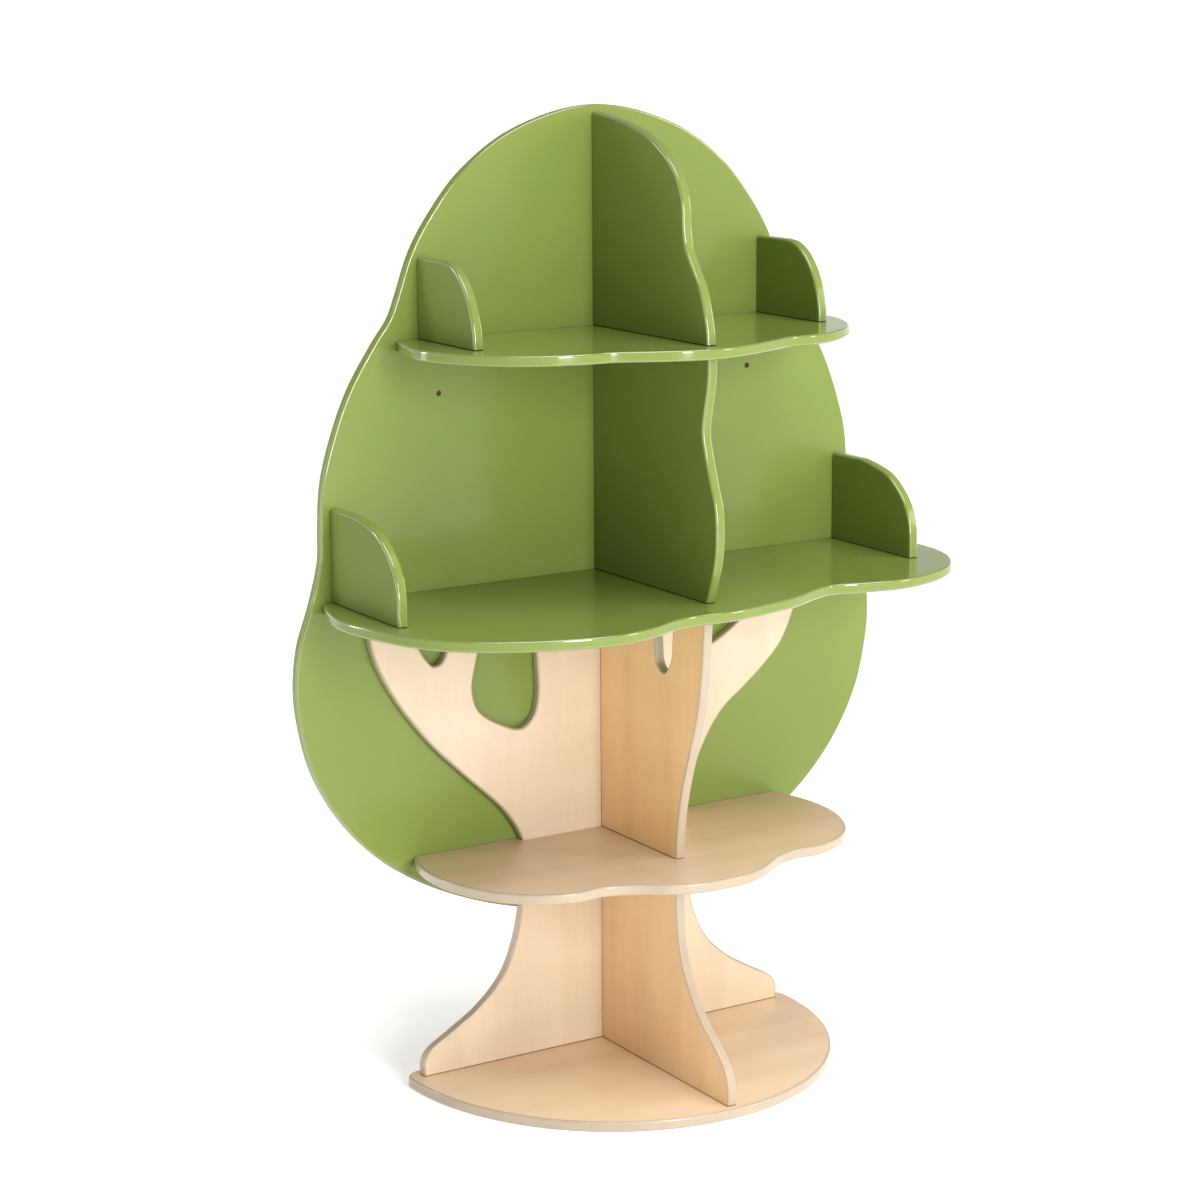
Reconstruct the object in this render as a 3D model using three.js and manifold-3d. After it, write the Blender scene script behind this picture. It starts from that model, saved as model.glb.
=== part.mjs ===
// A free-standing bookshelf in the shape of a tree: a green crown on a maple trunk, with three wavy
// shelves and four fins stacked on a half-round base. Millimetres, +Z up, and the front faces -Y.
// The origin is on the floor under the middle of the base, on the centre plane of the fins.
// While the pieces are placed, Y is measured from the trunk's front face, and the last lines shift them all.

import * as THREE from 'three';
import { mergeVertices } from 'three/addons/utils/BufferGeometryUtils.js';
import Module from 'manifold-3d';

const wasm = await Module();
wasm.setup();

// Boards
const boardThickness = 12;
const edgeRadius = 2.5;

// Heights above the floor
const lowerShelfTop = 274;
const middleShelfTop = 581;
const topShelfTop = 864;
const upperFinTop = 1103;
const crownTop = 1112;
const crownBottom = 176;

// Crown and trunk: half widths from the centre plane of the fins
const crownHalfWidth = 392;
const boughHalfWidth = 309;
const neckHalfWidth = 112;
const footHalfWidth = 248;

// Base: half width, and depth in front of the trunk's front face
const baseHalfWidth = 264;
const baseReach = 274;
const baseCornerRadius = 20;

// Shelves: half width, and depth in front of the crown
const topShelfHalfWidth = 278;
const topShelfDepth = 256;
const middleShelfHalfWidth = 400;
const middleShelfDepth = 309;
const lowerShelfHalfWidth = 265;
const lowerShelfDepth = 263;
const trunkNotchClearance = 3;

// Fins: reach in front of the trunk's front face
const upperFinReach = 221;
const middleFinReach = 239;
const lowerFinReach = 217;
const baseFinSetback = 9;

// Bookends: inner face in from the shelf's widest point, and depth in front of the crown
const topBookendInset = 57.6;
const topBookendDepth = 125;
const topBookendHeight = 90;
const middleBookendInset = 66.2;
const middleBookendDepth = 155;
const middleBookendHeight = 105;
const bookendCornerRadius = 6;

// Holes in the crown for anchoring it to a wall
const anchorHoleRadius = 3.25;
const anchorHoleHalfSpacing = 207.5;
const anchorHoleHeight = 802;

// Hidden hardware
const screwShankRadius = 2;
const screwHeadRadius = 4;
const screwHeadDepth = 2.4;
const screwRim = 0.4;
const screwPoint = 4;
const longScrewLength = 40;
const shortScrewLength = 18;
const screwRecess = 0.5;
const dowelRadius = 3;
const dowelChamfer = 0.8;
const dowelBite = 12;
const hardwareClearance = 0.3;

// How finely curves are cut into facets
const stepsPerKnot = 3;
const roundoverSteps = 2;
const baseCurveSteps = 40;
const cornerSteps = 4;
const hardwareSides = 8;
const holeSides = 16;

// A cutter or an outline runs this far past the face where it is cut off
const overrun = 20;

// The two roundovers of a thin board never meet in its middle
const largestRoundoverShare = 0.45;
const roundover = Math.min(edgeRadius, boardThickness * largestRoundoverShare);

// Planes that the boards share
const halfBoard = boardThickness / 2;
const baseTop = boardThickness;
const trunkFront = 0;
const trunkBack = boardThickness;
const crownFront = trunkBack;
const crownBack = crownFront + boardThickness;
const lowerShelfUnderside = lowerShelfTop - boardThickness;
const middleShelfUnderside = middleShelfTop - boardThickness;
const topShelfUnderside = topShelfTop - boardThickness;
const neckHeight = lowerShelfTop - halfBoard;
const baseFinReach = baseReach - baseFinSetback;
const topBookendInnerX = topShelfHalfWidth - topBookendInset;
const middleBookendInnerX = middleShelfHalfWidth - middleBookendInset;

// Half of the crown's outline from the top down: share of the half width, share of the height
const crownShares = [
  [0.27, 0.974], [0.44, 0.928], [0.538, 0.882], [0.607, 0.837], [0.653, 0.787], [0.679, 0.761],
  [0.727, 0.734], [0.809, 0.681], [0.865, 0.626], [0.901, 0.572], [0.911, 0.515], [0.914, 0.482],
  [0.946, 0.431], [0.986, 0.382], [1, 0.33], [0.99, 0.287], [0.952, 0.226], [0.865, 0.161],
  [0.745, 0.107], [0.6, 0.066], [0.408, 0.03], [0.204, 0.007],
];

// The trunk's foot from the base up: share of the foot's spread beyond the neck, share of the neck's height
const footShares = [
  [1, 0], [1, 0.07], [0.94, 0.117], [0.728, 0.184], [0.456, 0.273], [0.221, 0.398],
  [0.088, 0.559], [0.015, 0.773],
];

// Outer edge of each bough from the neck up: share of its spread beyond the neck, share of its height
const leftBoughShares = [
  [0.11, 0.136], [0.386, 0.312], [0.614, 0.462], [0.848, 0.668], [0.97, 0.837], [1, 1],
];
const rightBoughShares = [
  [0.035, 0.106], [0.132, 0.272], [0.269, 0.405], [0.447, 0.495], [0.574, 0.561],
  [0.716, 0.658], [0.807, 0.784], [0.858, 0.887], [0.873, 1],
];

// Cut-outs between the boughs, from the left end of each to its right end:
// share of the boughs' half width, share of their height
const smallNotchShares = [
  [-0.848, 1], [-0.789, 0.832], [-0.76, 0.784], [-0.731, 0.757], [-0.702, 0.764],
  [-0.679, 0.8], [-0.66, 1],
];
const largeNotchShares = [
  [-0.508, 1], [-0.544, 0.791], [-0.571, 0.641], [-0.544, 0.558], [-0.456, 0.495],
  [-0.366, 0.465], [-0.314, 0.502], [-0.291, 0.588], [-0.294, 0.704], [-0.311, 1],
];
const rightNotchShares = [
  [0.335, 1], [0.335, 0.83], [0.35, 0.72], [0.4, 0.667], [0.485, 0.688],
  [0.608, 0.761], [0.718, 0.87], [0.77, 1],
];

// Front edges of the shelves from the back left corner round: share of the half width, share of the depth
const topShelfShares = [
  [-0.932, 0], [-0.98, 0.164], [-1, 0.32], [-0.965, 0.484], [-0.863, 0.66], [-0.701, 0.789],
  [-0.547, 0.84], [-0.424, 0.852], [-0.288, 0.918], [-0.137, 0.984], [0, 1], [0.151, 0.965],
  [0.295, 0.898], [0.424, 0.84], [0.547, 0.836], [0.683, 0.785], [0.845, 0.641], [0.942, 0.453],
  [0.975, 0.305], [0.964, 0.145], [0.928, 0],
];
const middleShelfShares = [
  [-0.893, 0], [-0.93, 0.129], [-0.95, 0.291], [-0.925, 0.495], [-0.878, 0.67], [-0.808, 0.79],
  [-0.7, 0.89], [-0.563, 0.964], [-0.42, 1], [-0.295, 0.971], [-0.2, 0.916], [-0.12, 0.893],
  [-0.02, 0.906], [0.125, 0.874], [0.25, 0.829], [0.345, 0.767], [0.42, 0.735], [0.513, 0.767],
  [0.625, 0.796], [0.75, 0.767], [0.875, 0.68], [0.963, 0.534], [1, 0.346], [0.982, 0.155],
  [0.92, 0],
];
const lowerShelfHalfShares = [
  [0.943, 0], [0.981, 0.114], [1, 0.274], [0.977, 0.449], [0.891, 0.639], [0.766, 0.76],
  [0.611, 0.821], [0.491, 0.814], [0.37, 0.856], [0.242, 0.943], [0.117, 0.992],
];

// Front edges of the fins from the foot up: share of the reach, share of the height
const upperFinShares = [
  [1, 0], [0.993, 0.071], [0.932, 0.247], [0.869, 0.335], [0.808, 0.42], [0.787, 0.506],
  [0.774, 0.636], [0.701, 0.77], [0.52, 0.887], [0.271, 0.962], [0, 1],
];
const middleFinShares = [
  [0.921, 0], [0.979, 0.144], [1, 0.255], [0.992, 0.395], [0.962, 0.472], [0.908, 0.609],
  [0.887, 0.69], [0.9, 0.771], [0.929, 0.889], [0.937, 1],
];
const lowerFinShares = [
  [0.737, 0], [0.747, 0.105], [0.788, 0.261], [0.862, 0.431], [0.935, 0.6], [0.977, 0.783], [1, 1],
];
const lowerFinNotchShares = [
  [0.705, 1], [0.696, 0.868], [0.677, 0.77], [0.618, 0.722], [0.558, 0.746], [0.539, 0.834],
  [0.521, 1],
];
const baseFinShares = [
  [1, 0], [1, 0.088], [0.974, 0.16], [0.913, 0.232], [0.792, 0.336], [0.691, 0.472],
  [0.63, 0.624], [0.608, 0.792], [0.608, 1],
];

// Curved front of a bookend from its foot up to its flat top: share of the depth, share of the height
const topBookendShares = [
  [1, 0], [0.998, 0.15], [0.955, 0.4], [0.872, 0.64], [0.744, 0.844], [0.592, 0.968], [0.44, 1],
];
const middleBookendShares = [
  [1, 0], [0.99, 0.362], [0.929, 0.587], [0.829, 0.752], [0.697, 0.886], [0.529, 0.958], [0.361, 1],
];

// Places of the hardware: shares of a board's half width, reach or height
const topShelfScrewShares = [-0.68, -0.27, 0.27, 0.68];
const middleShelfScrewShares = [-0.73, -0.28, 0.28, 0.73];
const lowerShelfScrewShares = [-0.72, -0.2, 0.2, 0.72];
const finScrewShares = [0.22, 0.78];
const baseFinLowScrewShare = 0.3;
const baseFinHighScrewShare = 0.86;
const footScrewShares = [-0.72, -0.25, 0.25, 0.72];
const baseFinFootScrewShares = [0.28, 0.72];
const bookendScrewShares = [0.25, 0.72];
const dowelShares = [0.25, 0.78];
const trunkScrewShares = [[-0.73, 0.59], [-0.19, 0.2], [0.19, 0.2], [0.67, 0.64]];

// Finishes
const greenPaint = { color: 0x86a046, roughness: 0.32, metalness: 0 };
const mapleFinish = { color: 0xe9cfa6, roughness: 0.42, metalness: 0 };
const steelFinish = { color: 0x8f9194, roughness: 0.4, metalness: 0.9 };
const beechFinish = { color: 0xe2c897, roughness: 0.7, metalness: 0 };

// A smooth line through chosen knots
function curveThrough(knots, closed = false) {
  const points = knots.map(([a, b]) => new THREE.Vector3(a, b, 0));
  const spans = closed ? knots.length : knots.length - 1;
  const spine = new THREE.CatmullRomCurve3(points, closed, 'centripetal');
  return spine.getPoints(spans * stepsPerKnot).map(({ x, y }) => [x, y]);
}

function arc(centreX, centreY, radiusX, radiusY, fromTurn, toTurn, steps) {
  const curve = new THREE.EllipseCurve(centreX, centreY, radiusX, radiusY, fromTurn, toTurn, false);
  return curve.getPoints(steps).map(({ x, y }) => [x, y]);
}

function scaled(shares, across, up, fromAcross = 0, fromUp = 0) {
  return shares.map(([a, b]) => [fromAcross + a * across, fromUp + b * up]);
}

function mirrored(knots) {
  return knots.map(([a, b]) => [-a, b]).reverse();
}

function between(low, high, share) {
  return low + (high - low) * share;
}

// A closed geometry as a solid: shared corners are merged, and triangles without area left out
function toSolid(geometry) {
  const bare = geometry.clone();
  bare.deleteAttribute('normal');
  bare.deleteAttribute('uv');
  const merged = mergeVertices(bare);
  const corners = merged.index.array;
  const kept = [];
  for (let i = 0; i < corners.length; i += 3) {
    const [a, b, c] = corners.slice(i, i + 3);
    if (a !== b && b !== c && c !== a) kept.push(a, b, c);
  }
  return new wasm.Manifold(new wasm.Mesh({
    numProp: 3,
    vertProperties: new Float32Array(merged.attributes.position.array),
    triVerts: new Uint32Array(kept),
  }));
}

function toGeometry(solid) {
  const mesh = solid.getMesh();
  const geometry = new THREE.BufferGeometry();
  geometry.setAttribute('position', new THREE.BufferAttribute(new Float32Array(mesh.vertProperties), 3));
  geometry.setIndex(new THREE.BufferAttribute(new Uint32Array(mesh.triVerts), 1));
  geometry.computeVertexNormals();
  return geometry;
}

function block(low, high) {
  const size = high.map((value, axis) => value - low[axis]);
  const middle = high.map((value, axis) => (value + low[axis]) / 2);
  return toSolid(new THREE.BoxGeometry(...size).translate(...middle));
}

function named(name, geometry, finish, place) {
  const mesh = new THREE.Mesh(geometry, new THREE.MeshStandardMaterial(finish));
  mesh.name = name;
  mesh.position.set(...place);
  return mesh;
}

// A flat board's outline is across and back, and it lies on its underside. A standing board's outline is
// across and up, with its thickness in front of its back face. A fin's outline is forward and up, with its
// thickness to the left.
const rightward = new THREE.Vector3(1, 0, 0);
const backward = new THREE.Vector3(0, 1, 0);
const upward = new THREE.Vector3(0, 0, 1);
const forward = backward.clone().negate();
const leftward = rightward.clone().negate();
const flatBasis = new THREE.Matrix4().makeBasis(rightward, backward, upward);
const standingBasis = new THREE.Matrix4().makeBasis(rightward, upward, forward);
const finBasis = new THREE.Matrix4().makeBasis(forward, upward, leftward);

// A board cut to a closed outline, with the edges of both faces rounded over
function roundedBoard(outline, basis) {
  const corners = outline.filter(([a, b], i) => a !== outline.at(i - 1)[0] || b !== outline.at(i - 1)[1]);
  const shape = new THREE.Shape(corners.map((corner) => new THREE.Vector2(...corner)));
  const geometry = new THREE.ExtrudeGeometry(shape, {
    depth: boardThickness - 2 * roundover,
    bevelEnabled: true,
    bevelThickness: roundover,
    bevelSize: roundover,
    bevelOffset: -roundover,
    bevelSegments: roundoverSteps,
  });
  return toSolid(geometry.translate(0, 0, roundover).applyMatrix4(basis));
}

// A curve that ends on a board's foot or on its top, carried past that to be cut off square
function carriedPast(curve, height, topRun) {
  const past = ([a, b]) => [a, b > height / 2 ? height + topRun : -overrun];
  return [past(curve[0]), ...curve, past(curve.at(-1))];
}

function crownSolid() {
  const height = crownTop - crownBottom;
  const right = scaled(crownShares, crownHalfWidth, height);
  const outline = curveThrough([[0, height], ...right, [0, 0], ...mirrored(right)], true);
  const holeLength = boardThickness + 2 * overrun;
  const anchorHole = new THREE.CylinderGeometry(anchorHoleRadius, anchorHoleRadius, holeLength, holeSides);
  const holes = [-anchorHoleHalfSpacing, anchorHoleHalfSpacing].map((x) => (
    toSolid(anchorHole).translate(x, -halfBoard, anchorHoleHeight - crownBottom)
  ));
  return holes.reduce((cut, hole) => cut.subtract(hole), roundedBoard(outline, standingBasis));
}

function trunkSolid() {
  const neckRise = neckHeight - baseTop;
  const boughRise = middleShelfUnderside - neckHeight;
  const foot = scaled(footShares, footHalfWidth - neckHalfWidth, neckRise, neckHalfWidth);
  const side = (shares) => {
    const bough = scaled(shares, boughHalfWidth - neckHalfWidth, boughRise, neckHalfWidth, neckRise);
    return curveThrough([...foot, [neckHalfWidth, neckRise], ...bough]);
  };
  const notches = [rightNotchShares, largeNotchShares, smallNotchShares].map((shares) => (
    curveThrough(scaled(shares, boughHalfWidth, boughRise, 0, neckRise)).reverse()
  ));
  const height = neckRise + boughRise;
  const curves = [side(rightBoughShares), ...notches, mirrored(side(leftBoughShares))];
  const outline = curves.flatMap((curve) => carriedPast(curve, height, overrun));
  return roundedBoard(outline, standingBasis)
    .intersect(block([-boughHalfWidth, -boardThickness, 0], [boughHalfWidth, 0, height]));
}

// Shelves are drawn from the crown's front face, where they are cut off square
function shelfSolid(shares, halfWidth, depth) {
  const front = curveThrough(scaled(shares, halfWidth, -depth));
  const past = ([a]) => [a, overrun];
  return roundedBoard([past(front[0]), ...front, past(front.at(-1))], flatBasis)
    .intersect(block([-halfWidth - overrun, -depth - overrun, 0], [halfWidth + overrun, 0, boardThickness]));
}

// The lower shelf is let in round the trunk, so that its ends reach the crown
function lowerShelfSolid() {
  const left = mirrored(lowerShelfHalfShares).reverse();
  const right = [...lowerShelfHalfShares].reverse();
  const notchHalfWidth = neckHalfWidth + trunkNotchClearance;
  return shelfSolid([...left, [0, 1], ...right], lowerShelfHalfWidth, lowerShelfDepth).subtract(block(
    [-notchHalfWidth, trunkFront - crownFront, -overrun],
    [notchHalfWidth, overrun, boardThickness + overrun],
  ));
}

// The base is half an ellipse in front, with straight sides behind it and rounded back corners
function baseSolid() {
  const cornerX = baseHalfWidth - baseCornerRadius;
  const cornerY = crownBack - baseCornerRadius;
  const corner = (x, turn) => (
    arc(x, cornerY, baseCornerRadius, baseCornerRadius, turn, turn + Math.PI / 2, cornerSteps)
  );
  const front = arc(0, trunkFront, baseHalfWidth, baseReach, Math.PI, 2 * Math.PI, baseCurveSteps);
  return roundedBoard([...front, ...corner(cornerX, 0), ...corner(-cornerX, Math.PI / 2)], flatBasis);
}

// A fin is drawn forward from the trunk's front face and up from its foot. Its back edge lies "behind" it.
function finSolid(curveShares, reach, height, behind, topRun = overrun) {
  const curves = curveShares.map((shares) => curveThrough(scaled(shares, reach, height)));
  const outline = curves.flatMap((curve) => carriedPast(curve, height, topRun));
  outline.push([-behind - overrun, height + topRun], [-behind - overrun, -overrun]);
  return roundedBoard(outline, finBasis)
    .intersect(block([-boardThickness, -reach - overrun, 0], [0, behind, height]));
}

// A bookend is drawn forward from the crown's front face, and only its foot is cut off square
function bookendSolid(shares, depth, height) {
  const radius = bookendCornerRadius;
  const outline = [
    [depth, -overrun],
    ...curveThrough(scaled(shares, depth, height)),
    ...arc(radius, height - radius, radius, radius, Math.PI / 2, Math.PI, cornerSteps),
    [0, -overrun],
  ];
  return roundedBoard(outline, finBasis).intersect(block([-boardThickness, -depth, 0], [0, 0, height]));
}

// Screws and dowels are turned on Y: a screw's head is at the origin and its point towards -Y
function turned(profile) {
  return new THREE.LatheGeometry(profile.map((point) => new THREE.Vector2(...point)), hardwareSides);
}

function screwGeometry(length, spare = 0, lead = 0) {
  return turned([
    [0, -length - spare],
    [screwShankRadius + spare, screwPoint - length],
    [screwShankRadius + spare, -screwHeadDepth - spare],
    [screwHeadRadius + spare, -screwRim - spare],
    [screwHeadRadius + spare, lead],
    [0, lead],
  ]);
}

function dowelGeometry(spare = 0) {
  const radius = dowelRadius + spare;
  const end = halfBoard + dowelBite + spare;
  return turned([
    [0, -end],
    [radius - dowelChamfer, -end],
    [radius, dowelChamfer - end],
    [radius, end - dowelChamfer],
    [radius - dowelChamfer, end],
    [0, end],
  ]);
}

const pointsForward = 0;
const pointsUp = -Math.PI / 2;
const crownHeadY = crownBack - screwRecess;
const trunkHeadY = trunkBack - screwRecess;

function screwRow(name, length, turn, heads) {
  return heads.map((head, index) => ({ name: `${name}_${index + 1}`, length, turn, head }));
}

function shelfScrews(name, shares, halfWidth, top) {
  const heads = shares.map((share) => [share * halfWidth, crownHeadY, top - halfBoard]);
  return screwRow(name, longScrewLength, pointsForward, heads);
}

function finScrews(name, foot, top) {
  const heads = finScrewShares.map((share) => [0, crownHeadY, between(foot, top, share)]);
  return screwRow(name, longScrewLength, pointsForward, heads);
}

function bookendScrews(name, innerX, depth, underside) {
  const heads = [-1, 1].flatMap((side) => bookendScrewShares.map((share) => (
    [side * (innerX + halfBoard), crownFront - share * depth, underside + screwRecess]
  )));
  return screwRow(name, longScrewLength, pointsUp, heads);
}

const trunkHeads = trunkScrewShares.map(([across, up]) => (
  [across * boughHalfWidth, crownHeadY, between(neckHeight, middleShelfUnderside, up)]
));
const baseFinHeads = [
  [0, trunkHeadY, between(baseTop, lowerShelfUnderside, baseFinLowScrewShare)],
  [0, crownHeadY, between(baseTop, lowerShelfUnderside, baseFinHighScrewShare)],
];
const trunkFootHeads = footScrewShares.map((share) => (
  [share * footHalfWidth, trunkFront + halfBoard, screwRecess]
));
const baseFinFootHeads = baseFinFootScrewShares.map((share) => [0, -share * baseFinReach, screwRecess]);

const screws = [
  ...shelfScrews('top_shelf_screw', topShelfScrewShares, topShelfHalfWidth, topShelfTop),
  ...shelfScrews('middle_shelf_screw', middleShelfScrewShares, middleShelfHalfWidth, middleShelfTop),
  ...shelfScrews('lower_shelf_screw', lowerShelfScrewShares, lowerShelfHalfWidth, lowerShelfTop),
  ...finScrews('upper_fin_screw', topShelfTop, upperFinTop),
  ...finScrews('middle_fin_screw', middleShelfTop, topShelfUnderside),
  ...finScrews('lower_fin_screw', lowerShelfTop, middleShelfUnderside),
  ...screwRow('base_fin_screw', longScrewLength, pointsForward, baseFinHeads),
  ...screwRow('trunk_screw', shortScrewLength, pointsForward, trunkHeads),
  ...screwRow('trunk_foot_screw', longScrewLength, pointsUp, trunkFootHeads),
  ...screwRow('base_fin_foot_screw', longScrewLength, pointsUp, baseFinFootHeads),
  ...bookendScrews('top_bookend_screw', topBookendInnerX, topBookendDepth, topShelfUnderside),
  ...bookendScrews('middle_bookend_screw', middleBookendInnerX, middleBookendDepth, middleShelfUnderside),
];

// A dowel runs through each shelf into the fins above and below it
const dowelReach = Math.min(upperFinReach, middleFinReach, lowerFinReach);
const lowerDowelReach = lowerFinReach * lowerFinShares[0][0];
const dowels = [
  ['top_shelf_dowel', topShelfTop, dowelReach],
  ['middle_shelf_dowel', middleShelfTop, dowelReach],
  ['lower_shelf_dowel', lowerShelfTop, lowerDowelReach],
].flatMap(([name, top, reach]) => dowelShares.map((share, index) => (
  { name: `${name}_${index + 1}`, middle: [0, -share * reach, top - halfBoard] }
)));

const screwMeshes = screws.map(({ name, length, turn, head }) => {
  const mesh = named(name, screwGeometry(length), steelFinish, head);
  mesh.rotation.x = turn;
  return mesh;
});
const dowelMeshes = dowels.map(({ name, middle }) => {
  const mesh = named(name, dowelGeometry(), beechFinish, middle);
  mesh.rotation.x = pointsUp;
  return mesh;
});

// Every board is drilled for all the hardware that passes through it
const holes = [
  ...screws.map(({ length, turn, head }) => (
    screwGeometry(length, hardwareClearance, overrun).rotateX(turn).translate(...head)
  )),
  ...dowels.map(({ middle }) => dowelGeometry(hardwareClearance).rotateX(pointsUp).translate(...middle)),
];
const everyHole = holes.map(toSolid).reduce((joined, hole) => joined.add(hole));

function board(name, solid, finish, place) {
  const holesHere = everyHole.translate(...place.map((distance) => -distance));
  return named(name, toGeometry(solid.subtract(holesHere)), finish, place);
}

function shelfBoard(name, solid, finish, top) {
  return board(name, solid, finish, [0, crownFront, top - boardThickness]);
}

function finBoard(name, solid, finish, foot) {
  return board(name, solid, finish, [halfBoard, trunkFront, foot]);
}

function bookendPair(name, solid, innerX, shelfTop) {
  return [
    board(`${name}_left_bookend`, solid, greenPaint, [-innerX, crownFront, shelfTop]),
    board(`${name}_right_bookend`, solid, greenPaint, [innerX + boardThickness, crownFront, shelfTop]),
  ];
}

const topShelf = shelfSolid(topShelfShares, topShelfHalfWidth, topShelfDepth);
const middleShelf = shelfSolid(middleShelfShares, middleShelfHalfWidth, middleShelfDepth);
const upperFin = finSolid([upperFinShares], upperFinReach, upperFinTop - topShelfTop, crownFront, 0);
const middleFin = finSolid([middleFinShares], middleFinReach, topShelfUnderside - middleShelfTop, crownFront);
const lowerFin = finSolid(
  [lowerFinShares, lowerFinNotchShares], lowerFinReach, middleShelfUnderside - lowerShelfTop, trunkFront,
);
const baseFin = finSolid([baseFinShares], baseFinReach, lowerShelfUnderside - baseTop, trunkFront);
const topBookend = bookendSolid(topBookendShares, topBookendDepth, topBookendHeight);
const middleBookend = bookendSolid(middleBookendShares, middleBookendDepth, middleBookendHeight);

const bookshelf = new THREE.Group();
bookshelf.name = 'tree_bookshelf';
bookshelf.add(
  board('crown_panel', crownSolid(), greenPaint, [0, crownBack, crownBottom]),
  board('trunk_panel', trunkSolid(), mapleFinish, [0, trunkBack, baseTop]),
  board('base_panel', baseSolid(), mapleFinish, [0, 0, 0]),
  shelfBoard('lower_shelf', lowerShelfSolid(), mapleFinish, lowerShelfTop),
  shelfBoard('middle_shelf', middleShelf, greenPaint, middleShelfTop),
  shelfBoard('top_shelf', topShelf, greenPaint, topShelfTop),
  finBoard('upper_fin', upperFin, greenPaint, topShelfTop),
  finBoard('middle_fin', middleFin, greenPaint, middleShelfTop),
  finBoard('lower_fin', lowerFin, mapleFinish, lowerShelfTop),
  finBoard('base_fin', baseFin, mapleFinish, baseTop),
  ...bookendPair('top', topBookend, topBookendInnerX, topShelfTop),
  ...bookendPair('middle', middleBookend, middleBookendInnerX, middleShelfTop),
  ...screwMeshes,
  ...dowelMeshes,
);
bookshelf.position.y = (baseReach - crownBack) / 2;

export default bookshelf;
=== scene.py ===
"""Dresses the tree shaped bookshelf for rendering. Metres, +Z up, and the front faces -Y.

Each board is rebuilt with a finely rounded edge from the outline that its solid has, and is drilled
for the same screws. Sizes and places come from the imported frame.
"""

import math

import bmesh
import bpy
from mathutils import Matrix, Vector


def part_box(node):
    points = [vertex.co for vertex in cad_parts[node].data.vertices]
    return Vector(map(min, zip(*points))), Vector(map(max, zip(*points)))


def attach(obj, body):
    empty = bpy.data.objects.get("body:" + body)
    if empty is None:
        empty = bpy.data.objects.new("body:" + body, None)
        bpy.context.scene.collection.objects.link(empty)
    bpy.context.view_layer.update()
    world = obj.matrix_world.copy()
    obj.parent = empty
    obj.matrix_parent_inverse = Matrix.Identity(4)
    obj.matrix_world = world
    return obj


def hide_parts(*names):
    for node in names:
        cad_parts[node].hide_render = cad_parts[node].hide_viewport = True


# Boards
EDGE_RADIUS = 0.0025
ROUNDOVER_STEPS = 7
STEPS_PER_KNOT = 8
BASE_CURVE_STEPS = 140
CORNER_STEPS = 12
SAWN_BEVEL = 0.0007
SAWN_BEVEL_STEPS = 2
SAWN_BEVEL_ROUNDNESS = 0.5
# Width of the strip of painted shade beside each sawn end, where the gap to the next board is
JOINT_SHADE_WIDTH = 0.001
SHARP_ANGLE = math.radians(38)

# How far a cutter or an outline runs past the plane that it cuts, or is cut off at
OVERRUN = 0.02

# Corners closer than the first are one, and a corner closer to a cut than the second lies on it
SHORTEST_SIDE = EDGE_RADIUS / 1000
CUT_TOLERANCE = EDGE_RADIUS / 10000

# Sizes that no node's box gives
NECK_HALF_WIDTH = 0.112
FOOT_HALF_WIDTH = 0.248
BASE_CORNER_RADIUS = 0.02
BOOKEND_CORNER_RADIUS = 0.006
TRUNK_NOTCH_CLEARANCE = 0.003
ANCHOR_HOLE_RADIUS = 0.00325
ANCHOR_HOLE_HALF_SPACING = 0.2075
ANCHOR_HOLE_HEIGHT = 0.802

# Hardware
SCREW_SHANK_RADIUS = 0.002
SCREW_ROOT_RADIUS = 0.0015
SCREW_HEAD_RADIUS = 0.004
SCREW_HEAD_DEPTH = 0.0024
SCREW_RIM = 0.0004
SCREW_POINT = 0.004
SCREW_PLAIN_SHANK = 0.002
THREAD_PITCH = 0.0016
RECESS_HALF_WIDTH = 0.00045
RECESS_REACH = 0.0022
RECESS_DEPTH = 0.0012
DOWEL_FLUTE = 0.00015
DOWEL_CHAMFER = 0.0008
HARDWARE_CLEARANCE = 0.0003
HARDWARE_SIDES = 24

# Screws whose lengths agree to this many places share a mesh
LENGTH_PLACES = 4

# Half of the crown's outline from the top down: share of the half width, share of the height
CROWN_SHARES = [
    (0.27, 0.974), (0.44, 0.928), (0.538, 0.882), (0.607, 0.837), (0.653, 0.787), (0.679, 0.761),
    (0.727, 0.734), (0.809, 0.681), (0.865, 0.626), (0.901, 0.572), (0.911, 0.515), (0.914, 0.482),
    (0.946, 0.431), (0.986, 0.382), (1, 0.33), (0.99, 0.287), (0.952, 0.226), (0.865, 0.161),
    (0.745, 0.107), (0.6, 0.066), (0.408, 0.03), (0.204, 0.007),
]

# The trunk's foot from the base up: share of the foot's spread beyond the neck, share of the neck's height
FOOT_SHARES = [
    (1, 0), (1, 0.07), (0.94, 0.117), (0.728, 0.184), (0.456, 0.273), (0.221, 0.398),
    (0.088, 0.559), (0.015, 0.773),
]

# Outer edge of each bough from the neck up: share of its spread beyond the neck, share of its height
LEFT_BOUGH_SHARES = [
    (0.11, 0.136), (0.386, 0.312), (0.614, 0.462), (0.848, 0.668), (0.97, 0.837), (1, 1),
]
RIGHT_BOUGH_SHARES = [
    (0.035, 0.106), (0.132, 0.272), (0.269, 0.405), (0.447, 0.495), (0.574, 0.561),
    (0.716, 0.658), (0.807, 0.784), (0.858, 0.887), (0.873, 1),
]

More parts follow.
